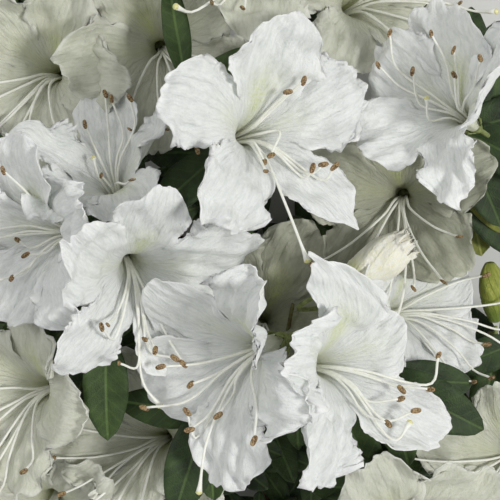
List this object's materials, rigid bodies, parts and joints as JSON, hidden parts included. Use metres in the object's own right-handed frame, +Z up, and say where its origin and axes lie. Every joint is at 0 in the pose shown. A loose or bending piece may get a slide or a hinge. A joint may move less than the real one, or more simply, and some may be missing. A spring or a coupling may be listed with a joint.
{
  "type": "cut azalea flowering branch",
  "caption": "Flowering branch cut from a white azalea, lying on its boughs, with large open funnel-shaped blooms, closed buds and leafy shoots.",
  "frame": {"origin": "on the surface that the branch lies on, under the middle of its bounding box", "axes": "+Y along the main stem, from its cut towards the far end of the crown; +Z up, the way the blooms face"},
  "size_m": [0.2586, 0.3324, 0.1464],
  "materials": {
    "petal": "matte",
    "bud": "matte",
    "leaf": "satin",
    "bark": "rough"
  },
  "bodies": {
    "root": {"bloom_01": "petal", "bloom_02": "petal", "bloom_03": "petal", "bloom_04": "petal", "bloom_05": "petal", "bloom_06": "petal", "bloom_07": "petal", "bloom_08": "petal", "bloom_09": "petal", "bloom_10": "petal", "bloom_11": "petal", "bloom_12": "petal", "bloom_13": "petal", "bloom_14": "petal", "bloom_15": "petal", "bloom_16": "petal", "bloom_17": "petal", "bloom_18": "petal", "bloom_19": "petal", "bough_centre": "bark", "bough_far_right": "bark", "bough_left": "bark", "bough_right": "bark", "bud_middle": "bud", "bud_right": "bud", "leaves_back_middle": "leaf", "leaves_bottom": "leaf", "leaves_far_left": "leaf", "leaves_far_right": "leaf", "leaves_front_low": "leaf", "leaves_left": "leaf", "leaves_left_edge": "leaf", "leaves_left_front": "leaf", "leaves_left_low": "leaf", "leaves_low_corner": "leaf", "leaves_low_left": "leaf", "leaves_low_middle": "leaf", "leaves_lower_middle": "leaf", "leaves_middle": "leaf", "leaves_right_corner": "leaf", "leaves_right_deep": "leaf", "leaves_right_front": "leaf", "leaves_right_middle": "leaf", "leaves_top": "leaf", "leaves_top_left": "leaf", "leaves_upper_middle": "leaf", "main_stem": "bark", "twig_bottom": "bark", "twig_left": "bark", "twig_lower_middle": "bark", "twig_upper_middle": "bark"}
  },
  "joints": []
}
